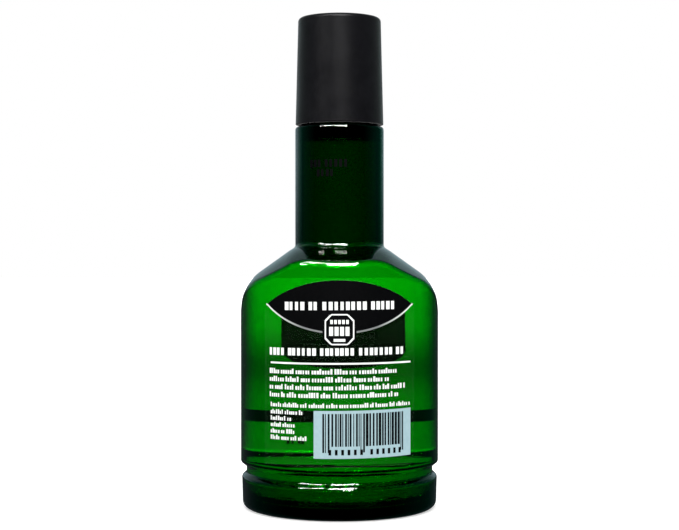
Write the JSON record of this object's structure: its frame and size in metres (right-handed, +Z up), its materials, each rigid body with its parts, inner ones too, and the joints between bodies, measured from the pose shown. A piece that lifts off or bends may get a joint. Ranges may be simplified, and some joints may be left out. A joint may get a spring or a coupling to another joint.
{
  "type": "aftershave bottle",
  "caption": "Round splash bottle with drooping shoulders, long neck, waist groove and tapered screw cap; the cap backs off on its thread.",
  "frame": {"origin": "centre of the ring the bottle stands on, on the plane of the surface under it", "axes": "+Z up the bottle's axis to the cap, -Y towards the back label, +Y towards the front label, +X along the bottle's width"},
  "size_m": [0.0608, 0.061, 0.1505],
  "materials": {
    "bottle_plastic": "clear green tinted, polished",
    "liquid": "clear pale green liquid",
    "label_film": "clear film",
    "label_ink_black": "printed black",
    "label_ink_white": "printed white",
    "label_ink_grey": "printed translucent grey",
    "reducer_plastic": "natural white",
    "cap_plastic": "matte black, fine spark texture",
    "insert_plastic": "smooth black",
    "liner_foam": "white closed-cell foam"
  },
  "bodies": {
    "bottle": {"bottle": "bottle_plastic", "aftershave_liquid": "liquid", "front_label": "label_film", "back_label": "label_film", "orifice_reducer": "reducer_plastic"},
    "liner": {"cap_liner": "liner_foam"},
    "cap": {"cap_shell": "cap_plastic", "cap_insert": "insert_plastic"}
  },
  "joints": [
    {"name": "cap_rise", "type": "slide", "parent": "bottle", "child": "liner", "axis": [0, 0, 1], "range_m": [0, 0.00635]},
    {"name": "cap_turn", "type": "hinge", "parent": "liner", "child": "cap", "pos_m": [0, 0, 0.134], "axis": [0, 0, 1], "range_deg": [0, 720]}
  ],
  "couplings": [
    {"joint": "cap_rise", "follows": "cap_turn", "m_per_rad": 0.00050531}
  ]
}
